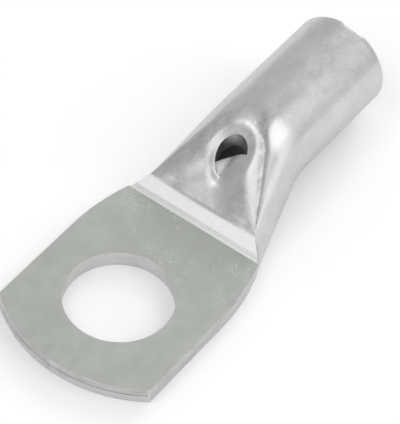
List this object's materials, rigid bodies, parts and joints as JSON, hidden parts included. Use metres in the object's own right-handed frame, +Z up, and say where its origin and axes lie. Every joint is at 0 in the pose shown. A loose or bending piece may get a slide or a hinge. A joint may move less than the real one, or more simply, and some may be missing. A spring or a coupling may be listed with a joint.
{
  "type": "cable lug",
  "caption": "Tubular cable lug: a round crimping barrel flattened at one end into a palm with a bolt hole, with an inspection hole in the sloping panel between them.",
  "frame": {"origin": "on the bolt hole's axis, in the plane of the palm's underside", "axes": "+X from the bolt hole along the barrel to its open mouth, +Z up through the palm, along the bolt; the lug lies on the underside of its palm and barrel"},
  "size_m": [0.0555, 0.0218, 0.0125],
  "materials": {
    "tinned_copper": "electroplated tin over copper, bright silver-grey with a satin sheen"
  },
  "bodies": {
    "root": {"cable_lug": "tinned_copper"}
  },
  "joints": []
}
